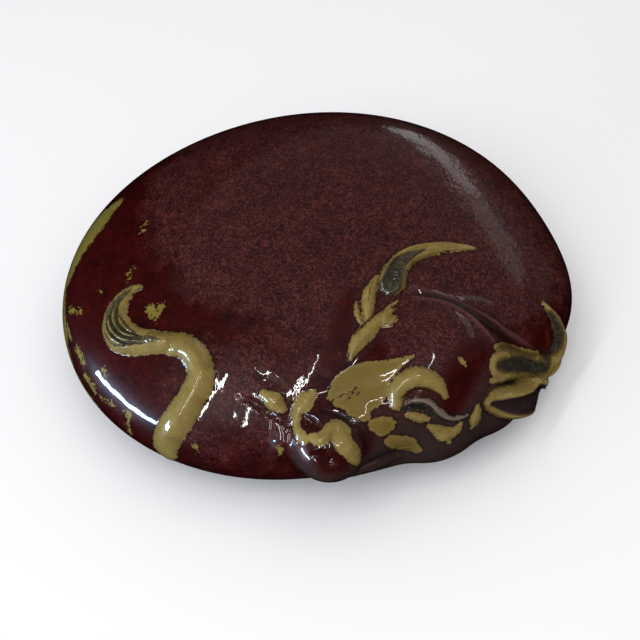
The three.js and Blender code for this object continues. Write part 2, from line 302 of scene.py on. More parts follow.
# Tail, and its tuft of hair lying over the hip.
Stroke(BACK, [(-124.5, 1.0, -11), (-125, 1.0, 0), (-124.6, 0.975), (-123, 0.89), (-123, 0.78),
              (-126.7, 0.72), (-132.5, 0.69), (-138, 0.71), (-142, 0.74)],
       (0.6, 5.6, 6.6, 6.6, 6.4, 6.2, 6, 5.6, 4.5), (0.1, 1.2, 3.2, 4.2, 4.4, 4.2, 4, 3.6, 2),
       round_profile, OCHRE, "tail_cord")
TUFT_LINE = [(-139.5, 0.722), (-143, 0.752), (-147, 0.79), (-151.5, 0.815), (-156.5, 0.80), (-160.5, 0.755),
             (-162.3, 0.71), (-162.5, 0.672)]
tuft = Stroke(BACK, TUFT_LINE, (4.5, 5.6, 6.8, 7.4, 7, 5.4, 3.6, 1.4),
              (2, 3.6, 4.4, 4.6, 4.4, 3.8, 2.6, 1.2), round_profile, OCHRE, "tail_tuft")


def strand(parent, start, end, offset, width, height, paint):
    """A stroke beside a parent's line from share start to end, its offsets in half widths."""
    shares = np.linspace(start, end, 6)
    rows = [np.abs(parent.share - s).argmin() for s in shares]
    offsets = spread(offset, np.linspace(0, 1, 6))
    places = [
        parent.line[row] + parent.side[row] * offsets[i] * spread(parent.width, parent.share[row])
        for i, row in enumerate(rows)
    ]
    Stroke(lambda *xyz: np.array(xyz), places, width, height, soft_profile, paint)


for offset, start, end, thick in ((-0.66, 0.22, 0.72, 0.7), (-0.34, 0.06, 0.9, 1.2), (0.0, 0.0, 0.93, 1.3),
                                  (0.33, 0.04, 0.88, 1.1), (0.64, 0.2, 0.76, 0.6)):
    strand(tuft, start, end, (offset * 0.4, offset, offset, offset * 0.5),
           (0.25, 0.62 * thick, 0.8 * thick, 0.55 * thick, 0.25), (-0.4, -1.5, -1.8, -1.3, -0.3), SLATE)

# Hind hoof tucked beside the muzzle, with the crease of the folded leg.
Stroke(BACK, [(-103.5, 0.782), (-101.5, 0.795), (-99.2, 0.812), (-97.5, 0.832)], (2.2, 4.0, 4.2, 2.6),
       (1.2, 2.8, 2.8, 1.2), round_profile, {"ochre": ("fill", -0.3)}, "hind_hoof")
Stroke(BACK, [(-110, 0.80), (-106, 0.815), (-101.5, 0.845), (-97, 0.875), (-93, 0.90)],
       (1.5, 2.4, 2.6, 2, 1), (-0.4, -1.2, -1.5, -1, -0.3))
Stroke(BACK, [(-98, 0.86), (-97, 0.92), (-97.5, 0.985)], (4, 6, 5), (0.8, 1.6, 1.0))
Stroke(BACK, [(-108, 0.70), (-104, 0.72), (-99, 0.745)], (3, 4, 3), (-0.3, -0.7, -0.3))

# Far horn, curved like a crescent over the back, and the far ear below it.
Stroke(BACK, [(-35, 0.43), (-26, 0.392), (-16.5, 0.382), (-9.5, 0.414), (-4.8, 0.487), (-2.3, 0.60)],
       (6.0, 5.0, 4.2, 3.3, 2.4, 0.9), (3.0, 3.8, 3.4, 2.6, 2, 0.8), trough_profile, OCHRE, "far_horn")
Stroke(BACK, [(-37, 0.44), (-26, 0.393), (-17.5, 0.385), (-8.5, 0.425)], (4.7, 3.8, 2.5, 0.5),
       (-0.3, -0.8, -0.5, 0), paint={"slate": ("fill", 0.0)})
Stroke(BACK, [(-40, 0.465), (-35, 0.45), (-31, 0.425)], (2.0, 2.6, 1.2), (0.2, 0.4, 0.2),
       paint={"fold": ("fill", -0.4)})
for degrees in (-34, -30.5, -27):
    Stroke(BACK, [(degrees - 4, 0.365), (degrees, 0.405), (degrees + 4, 0.445)], (0.5, 0.7, 0.4),
           (-0.2, 0.7, -0.2), paint={"rust": ("fill", -0.3)})
Stroke(BACK, [(-37, 0.37), (-47.3, 0.411), (-55, 0.47), (-61, 0.55)], (1.0, 3.0, 3.1, 0.7),
       (0.6, 1.8, 1.8, 0.6), round_profile, OCHRE, "far_ear")
Stroke(BACK, [(-42, 0.385), (-48, 0.413), (-54, 0.46)], (0.25, 0.5, 0.25), (-0.2, -0.5, -0.2),
       paint={"rust": ("fill", -0.2)})
Stroke(BACK, [(-59.5, 0.43), (-62.8, 0.485), (-63.9, 0.545)], (0.5, 1.4, 0.5), (0.3, 0.9, 0.3),
       round_profile, OCHRE, "far_ear")

# Near horn and near ear, on the shoulder's edge.
Stroke(BACK, [(-37, 0.985, 18), (-33, 0.98, 11), (-29.4, 0.978, 4), (-25.2, 0.99), (-21, 1.0, -2),
              (-17.5, 1.0, -3), (-15.2, 0.995, -1), (-14.4, 0.97), (-13.4, 0.935), (-12.6, 0.90)],
       (5.4, 6.6, 6.4, 5.6, 5.2, 5.2, 5, 4.4, 3.2, 1.2), (1.2, 2.8, 3.8, 4.6, 5.2, 5.4, 5, 4, 2.6, 1),
       round_profile, {"ochre": ("fill", -0.2)}, "near_horn")
Stroke(BACK, [(-37, 0.985, 18), (-33, 0.983, 11), (-28.5, 0.982, 3), (-24.5, 0.992), (-20.8, 0.998, -1),
              (-17.6, 0.995, -2), (-15.8, 0.985), (-14.9, 0.96), (-13.9, 0.93)],
       (1.4, 2.8, 3.4, 2.8, 2.0, 1.5, 1.2, 1.0, 0.4),
       (-0.3, -1.2, -1.8, -1.5, -0.9, -0.6, -0.5, -0.4, -0.1),
       paint={"slate": ("fill", 0.2), "bark": ("fill", 1.5)})
Stroke(BACK, [(-34, 0.928, 12), (-31, 0.932, 8), (-28.5, 0.94, 3), (-25.8, 0.96), (-22.2, 0.985)],
       (1.4, 3.0, 3.2, 2.4, 1.0), (0.3, 1.3, 1.4, 1.0, 0.3),
       paint={"ochre": ("fill", -0.2), "bark": ("fill", -0.5)}, piece="near_horn")
Stroke(BACK, [(-41, 1.02, 25), (-37, 1.018, 20), (-33.3, 1.014, 15.5), (-28.5, 1.008, 6),
              (-23.1, 1.004, -2.9), (-19, 1.004, -5), (-15.5, 1.004, -4), (-13, 1, -1), (-13, 0.975),
              (-12.7, 0.93), (-12.4, 0.905)], (1.2, 1.9, 2.1, 2.1, 2.0, 1.8, 1.6, 1.5, 1.4, 1.1, 0.5),
       (0.5, 1.4, 1.7, 1.8, 1.8, 1.8, 1.6, 1.4, 1.0, 0.6, 0.2), round_profile,
       {"ochre": ("fill", -0.2)}, "near_horn")
Stroke(BACK, [(-43, 1.077, 16.5), (-40.6, 1.09, 13), (-37.2, 1.10, 8), (-33.2, 1.095, 3),
              (-29, 1.08, -2), (-25, 1.055, -6), (-21.5, 1.03, -9)],
       (4.0, 6.6, 7.8, 8.6, 8.8, 6.0, 2.0), (1.8, 4.8, 7.2, 9.0, 9.4, 6.5, 1.5), leaf_profile,
       {"ochre": ("rim", 1.9), "dim": ("fill", -2.9)}, "near_ear")
Stroke(BACK, [(-43.9, 1.068, 18.3), (-42, 1.06, 18.6), (-39.4, 1.058, 16), (-36, 1.062, 11.5),
              (-32.8, 1.066, 7.5), (-30, 1.06, 3.5)], (2.2, 2.8, 2.9, 2.6, 2.2, 1.4),
       (0.6, 1.4, 1.6, 1.5, 1.3, 0.6), round_profile, OCHRE, "near_ear")
Stroke(BACK, [(-41, 1.04, 20), (-37, 1.038, 16.5), (-32.5, 1.036, 11), (-28, 1.03, 3)],
       (0.6, 1.5, 1.5, 0.8), (-0.4, -1.2, -1.2, -0.5), paint={"pool": ("fill", 0.6)})

Stroke(BACK, [(-35, 1.10, 5), (-31, 1.095, 0), (-27, 1.075, -5), (-23.5, 1.05, -9)],
       (3.5, 6.0, 6.5, 4.0), (1.0, 3.5, 4.0, 2.0), piece="near_ear")

# Brows and the closed eye. The far brow ends in a fan of worn tips.
Stroke(HEAD, [(31.8, -16.5, 19), (28.5, -18.8, 20), (24.3, -20.4, 20.8), (19.5, -21.3, 21.2),
              (13.8, -22, 21.6), (8, -22.2, 21.9), (3.7, -22.6, 22.1)],
       (0.5, 2.5, 3.5, 4.1, 3.3, 3.1, 1.5), (0.3, 1.4, 2.0, 2.0, 1.6, 1.1, 0.3), soft_profile, OCHRE,
       "far_brow")
for start, middle, end in (((7.7, -23.6, 22), (2.0, -24.4, 22), (-2.7, -24.8, 22)),
                           ((7.3, -21.6, 22), (4.4, -21.7, 22), (1.4, -22.2, 22)),
                           ((8.0, -20.2, 22), (5.0, -19.1, 22), (2.4, -18.8, 22)),
                           ((9.3, -19.4, 22), (6.7, -17.8, 22), (4.1, -16.9, 22)),
                           ((11, -19.2, 22), (9.7, -17.6, 22), (8.7, -16.2, 22))):
    Stroke(HEAD, [start, middle, end], (1.5, 0.9, 0.2), (0.5, 0.4, 0.1), paint=OCHRE)
Stroke(HEAD, [(23, -23.8, 21), (18, -24.8, 21.4), (12.5, -25.2, 21.8), (8, -25.6, 22)],
       (0.3, 0.55, 0.55, 0.3), (-0.2, -0.7, -0.7, -0.2), paint=RUST)
Stroke(HEAD, [(30, 10, 14.4), (27, 7.4, 16.8), (22, 7, 19), (17.3, 8.9, 20.5), (14.2, 12.8, 20.2),
              (12.6, 17.4, 18.3), (12.4, 21, 15.4)], (2.6, 4.1, 4.7, 4.6, 4.2, 3.3, 1.3),
       (1.6, 3.2, 3.8, 3.8, 3.4, 2.4, 0.8), round_profile, OCHRE, "near_brow")
Stroke(HEAD, [(27, 10.2, 16), (22.8, 11, 17.6), (19.4, 13.2, 18.2), (16.6, 16.4, 17.4),
              (14.3, 19.6, 16)], (0.4, 1.1, 1.3, 1.4, 0.7), (-0.2, -0.5, -0.6, -0.5, -0.2),
       paint={"rust": ("fill", 0.1)})
Stroke(HEAD, [(27.4, 12.4, 14.5), (23.5, 14.1, 15.6), (20.3, 16.8, 15.4), (18.4, 19.6, 13.8),
              (17.2, 22.7, 10.8), (14.7, 25.8, 7), (10.9, 28, 4.8), (6.3, 29.4, 3.8)],
       (0.6, 1.1, 1.3, 1.3, 1.3, 1.3, 1.2, 0.5), (0.6, 1.6, 1.9, 1.9, 1.7, 1.4, 1.0, 0.3),
       round_profile, {"ochre": ("fill", -0.1), "pale": ("fill", 0.6)}, "near_eyelid")
Stroke(HEAD, [(28.4, 14, 13.2), (25, 15.6, 13.5), (22.2, 18, 12.8), (20.4, 20.6, 11), (19.5, 22.6, 9)],
       (0.7, 1.3, 1.6, 1.3, 0.5), (-0.8, -2.0, -2.4, -1.8, -0.4), paint={"slate": ("fill", 0.1)})
Stroke(HEAD, [(26.2, 15.6, 13), (23.4, 17.4, 12.6)], (1.1, 1.1), (1.1, 0.9),
       paint={"ochre": ("fill", -0.5)})
Stroke(HEAD, [(28.4, 15.8, 11.6), (26.3, 18, 10.4), (24.4, 20, 9.2), (22.4, 21.6, 8.2)],
       (1.2, 2.1, 2.2, 1.2), (0.5, 1.2, 1.2, 0.5), paint=OCHRE)

# Nose: rims, nostrils, mouth and chin.
Stroke(HEAD, [(53.2, -16, 15.5), (56.6, -16, 14.6), (60.2, -15.4, 13.5), (63.4, -14, 12.3),
              (66.3, -11.2, 11), (68, -7.2, 10.9), (68.4, -2.6, 11.7)],
       (2.0, 4.0, 3.6, 2.1, 1.8, 2.4, 2.4), (0.3, 0.8, 0.8, 0.7, 0.6, 0.5, 0.3), paint=OCHRE)
Stroke(HEAD, [(67.9, -7.4, 10.9), (69.8, -3, 9.8), (71, 2, 8)], (1.8, 3.0, 2.0),
       paint={"fold": ("fill", -0.3)})
Stroke(HEAD, [(66, -0.6, 13.4), (64.4, 2, 13.8), (61.8, 2.6, 14.4), (58.6, 2, 14.7), (55.6, 2, 14.4),
              (54.6, 5, 13.4)], (2.2, 3.2, 3.0, 3.0, 3.2, 3.0), (0.3, 0.9, 1.0, 1.2, 1.2, 0.8),
       paint=OCHRE)
Stroke(HEAD, [(57.4, 5.4, 13.8), (57.8, 8.8, 12.4), (57.2, 11.6, 10.5), (56.6, 14.2, 7.4),
              (56.4, 15.6, 4.8)], (3.8, 4.6, 4.2, 3.6, 1.8), (0.5, 1.2, 1.3, 1.0, 0.3), paint=OCHRE)
Stroke(HEAD, [(62, -11.6, 12.6), (61.6, -8.4, 13.3), (61.2, -4.6, 14.3), (60.8, -1.6, 14.8)],
       (1.8, 3.0, 3.0, 1.6), (-1.0, -2.6, -2.2, -0.8),
       paint={"red": ("fill", 1.5), "pool": ("fill", 0.2), "rust": ("fill", -0.6)})
Stroke(HEAD, [(69.5, 4.2, 10.4), (67.2, 7, 10.9), (66.2, 10, 9.4), (63.8, 13, 7.4)],
       (2.2, 3.6, 3.8, 2.6), (-0.8, -2.4, -2.4, -0.9), paint={"red": ("fill", 2.5)})
Stroke(HEAD, [(55, -7.9, 13.7), (53, -4.9, 13.8), (51, -0.8, 13.7), (49.5, 3.7, 13), (48.2, 8.2, 11.5),
              (48.6, 12.3, 8.8), (51.2, 14.6, 6)], (1.6, 2.1, 2.3, 2.4, 2.6, 2.6, 1.8),
       (-0.3, -0.7, -0.9, -0.9, -0.8, -0.6, -0.3), paint={"red": ("fill", 1), "pool": ("fill", 0.2)})
Stroke(HEAD, [(68, 15, -1), (62, 17, -3), (55, 17, -4.5), (48.5, 17, -5.5), (42, 18.5, -4),
              (35.5, 20, -3), (31, 22, -3)], (0.8, 1.5, 1.7, 1.7, 1.6, 1.4, 0.6),
       (-0.6, -1.6, -1.9, -1.9, -1.6, -1.0, -0.3), paint={"pool": ("fill", 0.2)})
Stroke(HEAD, [(60, 14, -10), (52, 16, -12), (43, 18, -12), (36, 20, -11)], (3, 4, 4, 3),
       (0.6, 1.2, 1.2, 0.6))
Stroke(HEAD, [(56, 17, -7), (51, 17.4, -8.5), (46, 18, -8.5)], (0.8, 1.5, 0.8),
       paint={"fold": ("fill", 0.0)})

# Dabs of bare ochre on the bridge, cheek and under the eye.
Stroke(HEAD, [(48.5, -10.5, 14.5), (42, -11, 15.5), (36.5, -9.5, 16.5), (30, -6, 17.8), (24, -3, 19.3),
              (18, -0.6, 21.2), (12.5, 1.5, 22.4)], (1.6, 4.4, 6.2, 6.4, 5.0, 2.4, 0.6),
       (0.1, 0.4, 0.6, 0.6, 0.4, 0.2, 0.1), paint=AMBER)
Stroke(HEAD, [(48, -6.5, 14), (43.5, -3, 14.3), (38.5, -0.2, 15), (33, 1.2, 16), (28.5, 1.2, 17.4)],
       (2, 5.0, 6.4, 5.4, 2.2), (0.1, 0.3, 0.4, 0.3, 0.1), paint=AMBER)
Stroke(HEAD, [(43.4, 0.5, 14), (43, 4.6, 13)], (4.6, 3.0), paint=AMBER)
for dent in ((39.5, -5.5, 15.2), (37.2, -6.2, 15.6), (42.3, -4.8, 14.7), (38.2, -3.8, 15.2),
             (41, -6.8, 15)):
    Stroke(HEAD, [dent, (dent[0] + 1.3, dent[1] + 0.5, dent[2])], (0.5, 0.35), (-0.35, -0.2),
           paint={"rust": ("fill", 0.1)})
Stroke(HEAD, [(41.5, 10.6, 11.2), (39.4, 12.4, 10.2), (37, 13.4, 10)], (3.2, 4.6, 3.2), (0.2, 0.5, 0.2),
       paint=AMBER)
Stroke(HEAD, [(39.5, 17.4, 4.6), (35.7, 19.6, 0.6), (32, 21.6, -4), (29.8, 23.4, -7)],
       (2.6, 4.2, 4.3, 2.2), (0.3, 0.8, 0.8, 0.3), paint=AMBER)
Stroke(HEAD, [(22.8, 23.4, 5), (20, 26, 2), (17.6, 28.3, -0.7), (13.8, 29.9, -1.0), (10.6, 29.7, 1.3)],
       (1.4, 2.9, 3.8, 3.0, 1.5), (0.2, 0.7, 0.9, 0.7, 0.2), paint=OCHRE)
Stroke(HEAD, [(17.6, 28.6, -2), (17, 30.4, -5.5)], (2.4, 0.9), (0.4, 0.1), paint=OCHRE)
Stroke(HEAD, [(0.8, 29.4, 4), (2, 30.7, 0.7), (4.2, 31.9, -2.5), (5.6, 32.3, -3.7)],
       (1.6, 3.3, 3.3, 1.6), (0.2, 0.5, 0.5, 0.2), paint=OCHRE)
Stroke(HEAD, [(-1.0, 13.8, 23), (-1.6, 15.7, 21.8), (-1.9, 17.8, 20.4)], (0.4, 1.2, 0.6),
       paint={"ochre": ("fill", -0.1)})

# Folds of the neck behind the head, with a hollow between them.
Stroke(BACK, [(-31, 0.493), (-28.6, 0.563), (-28, 0.665, 3), (-27.9, 0.756, 5), (-26, 0.85, 3),
              (-24, 0.922), (-22.5, 0.975)], (1.6, 2.4, 2.6, 2.6, 2.6, 2.4, 1.4),
       (0.3, 0.6, 0.8, 0.9, 0.8, 0.6, 0.2), paint=FOLD)
Stroke(BACK, [(-35, 0.54), (-31, 0.63, 3), (-31.2, 0.734, 7), (-32.5, 0.834, 11), (-33, 0.90, 12),
              (-32.8, 0.94, 11.6)], (1.6, 2.2, 2.6, 2.6, 2.4, 1.4), (0.2, 0.6, 0.8, 0.8, 0.7, 0.3),
       paint=FOLD)
Stroke(BACK, [(-32, 0.53), (-29.7, 0.60, 2), (-29.4, 0.70, 5), (-29.8, 0.80, 7), (-29, 0.87, 6),
              (-27, 0.93, 3)], (1.4, 2.2, 3.0, 3.2, 2.8, 1.6), (-0.2, -0.5, -0.8, -0.9, -0.7, -0.3),
       paint={"pool": ("fill", 0.0)})

# Glaze alone: deep red pools, the worn olive rim, its drips, and stray specks.
Stroke(BACK, [(-57.5, 0.371), (-67.7, 0.454), (-74.6, 0.561), (-79.1, 0.664)], (2.0, 4.2, 5.2, 5.0),
       paint={"red": ("fill", -0.5)})
Stroke(HEAD, [(12, 25, 11), (4, 21, 18), (-5, 17, 21), (-13, 16, 20)], (5, 7, 7, 5), paint=RED)
Stroke(HEAD, [(34, 6, 15), (29, 3, 17), (22, 0, 20), (16, 0, 22)], (2.5, 3, 3, 2), paint=RED)
Stroke(BACK, [(-17.5, 0.962), (-18.7, 0.985), (-20.4, 0.993)], (0.8, 1.6, 1.2),
       paint={"red": ("fill", 1.5), "ember": ("fill", 0)})
Stroke(BACK, [(-178, 0.965), (177, 0.955), (171, 0.935), (165, 0.91), (158.5, 0.875)],
       (2.5, 6, 8.0, 8.0, 2.5), paint=OLIVE)
Stroke(BACK, [(178, 0.985), (-174, 0.985), (-166, 0.99), (-158, 1.0, -1), (-150, 1.0, -3),
              (-142, 1.0, -7)], (2.6, 3.4, 4.2, 4.4, 4.0, 1.8), paint={"olive": ("fill", -0.6)})
DRIPS = (
    (((-168.5, 0.953), (-165.5, 0.918)), 1.5),
    (((-157.4, 0.968), (-153.7, 0.969)), 1.5),
    (((-150.8, 0.985), (-147.0, 0.99)), 1.6),
    (((-144.4, 0.987), (-140.4, 0.982)), 1.3),
    (((-135.8, 0.977), (-134.6, 1.0, -0.1)), 1.0),
    (((-148.0, 1.0), (-146.0, 1.0, -2.1)), 1.0),
    (((-164.2, 0.976), (-161.1, 0.975)), 1.2),
    (((-167.6, 0.822), (-166.0, 0.809)), 0.8),
    (((-117.4, 0.978), (-116.8, 0.988)), 1.3),
    (((-96.4, 0.962, 1.5), (-96.1, 0.982, 2.2)), 1.6),
)
for (start, end), wide in DRIPS:
    Stroke(BACK, [start, end], (wide, wide * 0.7), paint=OLIVE)
for degrees, reach, size in ((-151.7, 0.673, 3.2), (-151, 0.643, 2.4), (-150, 0.66, 2.0),
                             (-171, 0.688, 0.9), (-168, 0.70, 0.6),
                             (173, 0.66, 1.0), (170, 0.67, 0.8), (-147, 0.93, 0.8)):
    Stroke(BACK, [(degrees, reach), (degrees + 1.2, reach + 0.012)], (size, size * 0.6), paint=OLIVE)


def relief(p):
    out = np.zeros(len(p))
    for stroke in STROKES:
        stroke.relief(p, out)
    return out


def clay(p):
    """The finished clay surface: forms, applied members, tool marks, foot and slab recess."""
    v = smooth_max(ground(p) - relief(p), -p[:, 2], 2)
    angle = np.arctan2(p[:, 1], p[:, 0])
    inside = np.hypot(p[:, 0], p[:, 1]) - (FOOT_REACH * outline(angle) - SLAB_INSET)
    recess = np.maximum(inside, p[:, 2] - SLAB_DEPTH)
    return np.maximum(v, -recess)


# ------------------------------------------------------------------ mesh of the clay surface
def surface_net(field, low, high, pitch, skip=4, band=8.0):
    """A quad mesh of field == 0: one vertex in each lattice cell that the surface crosses."""
    blocks = np.ceil((high - low) / (pitch * skip)).astype(int) + 1
    counts = blocks * skip
    coarse = np.stack(np.meshgrid(*[np.arange(n) for n in blocks], indexing="ij"), -1)
    value = field(low + (coarse.reshape(-1, 3) * skip + skip / 2 - 0.5) * pitch).reshape(blocks)
    for axis in range(3):
        value = np.repeat(value, skip, axis=axis)
    near = np.argwhere(np.abs(value) < band)
    found = np.concatenate([field(low + part * pitch) for part in np.array_split(near, 8)])
    value[tuple(near.T)] = found
    inside = value < 0
    cells = counts - 1
    total = int(np.prod(cells))
    sums = np.zeros((4, total))
    edges = []
    for axis in range(3):
        ahead = np.roll(np.arange(3), -axis)
        here = np.take(inside, range(counts[axis] - 1), axis)
        there = np.take(inside, range(1, counts[axis]), axis)
        at = np.argwhere(here != there)
        ok = ((at[:, ahead[1:]] > 0) & (at[:, ahead[1:]] < cells[ahead[1:]])).all(1)
        at = at[ok]
        step = np.zeros(3, int)
        step[axis] = 1
        a, b = value[tuple(at.T)], value[tuple((at + step).T)]
        cross = at + step * (a / (a - b))[:, None]
        ring = []
        for du, dv in ((-1, -1), (0, -1), (0, 0), (-1, 0)):
            cell = at.copy()
            cell[:, ahead[1]] += du
            cell[:, ahead[2]] += dv
            ring.append(np.ravel_multi_index(tuple(cell.T), cells))
        ring = np.stack(ring, 1)
        ring[a > 0] = ring[a > 0][:, ::-1]
        edges.append(ring)
        for corner in range(4):
            for k in range(3):
                sums[k] += np.bincount(ring[:, corner], cross[:, k], total)
            sums[3] += np.bincount(ring[:, corner], minlength=total)
    used = np.nonzero(sums[3])[0]
    number = np.full(total, -1)
    number[used] = np.arange(len(used))
    points = low + (sums[:3, used] / sums[3, used]).T * pitch
    return points, number[np.concatenate(edges)]


def refine(points, faces):
    """Splits each quad into four, and says which points lie on the net's open edge."""
    sides = np.stack([faces, np.roll(faces, -1, axis=1)], -1).reshape(-1, 2)
    unique, inverse, count = np.unique(np.sort(sides, 1), axis=0, return_inverse=True, return_counts=True)
    inverse = inverse.reshape(-1, 4) + len(points)
    centre = np.arange(len(faces)) + len(points) + len(unique)
    grown = np.vstack([points, points[unique].mean(1), points[faces].mean(1)])
    quads = [
        np.stack([faces[:, i], inverse[:, i], centre, inverse[:, (i + 3) % 4]], 1) for i in range(4)
    ]
    rim = np.zeros(len(grown), bool)
    rim[len(points) : len(points) + len(unique)] = count == 1
    rim[unique[count == 1].ravel()] = True
    return grown, np.concatenate(quads), rim


PIECES = ("body_shell", "head", "lower_jaw", "near_horn", "far_horn", "near_ear", "far_ear", "near_brow",
          "far_brow", "near_eyelid", "tail_cord", "tail_tuft", "hind_hoof")
ON_HEAD = ("lower_jaw", "near_brow", "far_brow", "near_eyelid")


HEAD_SEAM = 0.5  # how far the head must stand out of the body before it is the head
JAW_TOP, JAW_SLANT, JAW_BEND = -5.0, 0.25, 35.0  # the jaw's upper line, in the head's axes
FOOT_EDGE = 1.0  # everything below this height is the body's foot


def sort_faces(centres):
    """The piece each face belongs to, as an index into PIECES."""
    q = to_head(centres)
    label = np.where(head_form(centres) < pebble(centres) - HEAD_SEAM, PIECES.index("head"), 0)
    jaw_line = JAW_TOP - JAW_SLANT * np.maximum(0, JAW_BEND - q[:, 0])
    jaw = (label > 0) & (q[:, 0] > 0) & (q[:, 2] < jaw_line)
    label[jaw] = PIECES.index("lower_jaw")
    for stroke in STROKES:
        if stroke.piece:
            index, inside = stroke.mask(centres, "fill", 0.0)
            label[index[inside > 0]] = PIECES.index(stroke.piece)
    label[centres[:, 2] < FOOT_EDGE] = 0
    return label


# ------------------------------------------------------------------ glaze masks
# ochre is bare, slate fills grooves, red stays free of the painted sheen and floor reflection,
# pool is thick and dark, pale lies on the eyelid, olive on worn rims, fold on thin ridges, ember
# and rust are red-brown, bark and amber darken the ochre, and dim is the hollow of the near ear.
MASKS = ("ochre", "slate", "red", "pool", "pale", "olive", "fold", "ember", "rust", "bark", "dim",
         "amber")
FAR_OUTSIDE = -6.0
# Where the painted sheen lies: a painted reflection of the ceiling over the back, and evenly on the head.
PAINTED_SHEEN_CENTRE, PAINTED_SHEEN_RADII = (30.0, 20.0), (104.0, 74.0, 115.0)  # across, to the front, to the back
PAINTED_SHEEN_SCALE, PAINTED_SHEEN_ON_HEAD = 100.0, 14.0
SHEEN_AT, SHEEN_SIZE, SHEEN_SCALE = on_back(-107, 0.80), 24.0, 9.0  # painted sheen between tail and muzzle
FLOOR_REFLECTION_HEIGHT, FLOOR_REFLECTION_ON_HEAD = 20.0, 40.0  # painted grey-brown reflection of the floor below these heights
PEEL_FROM, PEEL_OFF_HEAD = 20.0, 40.0  # coarse orange peel starts here, towards the back right


def glaze_masks(p):
    """Distance in mm inside each painted area, inside the painted sheen and painted floor reflection, and
    inside the coarse orange peel.
    """
    masks = {name: np.full(len(p), FAR_OUTSIDE) for name in MASKS}
    for stroke in STROKES:
        for name, (kind, size) in stroke.paint.items():
            index, inside = stroke.mask(p, kind, size)
            if len(index):
                masks[name][index] = np.maximum(masks[name][index], inside)
    # The painted sheen, a painted reflection: an oval over the back, a patch between tail and muzzle, and
    # an even share on the head.
    back = p[:, 1] - PAINTED_SHEEN_CENTRE[1]
    depth = np.where(back > 0, PAINTED_SHEEN_RADII[2], PAINTED_SHEEN_RADII[1])
    reach = np.hypot((p[:, 0] - PAINTED_SHEEN_CENTRE[0]) / PAINTED_SHEEN_RADII[0], back / depth)
    sheen = 1 - np.linalg.norm(p - SHEEN_AT, axis=1) / SHEEN_SIZE
    painted_sheen = np.maximum((1 - reach) * PAINTED_SHEEN_SCALE, sheen * SHEEN_SCALE)
    on_the_head = np.clip((pebble(p) - head_form(p)) / 6, 0, 1)
    masks["painted_sheen"] = painted_sheen * (1 - on_the_head) + PAINTED_SHEEN_ON_HEAD * on_the_head
    masks["peel"] = 0.7 * (p[:, 0] + p[:, 1]) - PEEL_FROM - PEEL_OFF_HEAD * on_the_head
    # A painted grey-brown reflection of the floor, reaching higher on the head.
    masks["floor_reflection"] = FLOOR_REFLECTION_HEIGHT + FLOOR_REFLECTION_ON_HEAD * on_the_head - p[:, 2]
    return masks


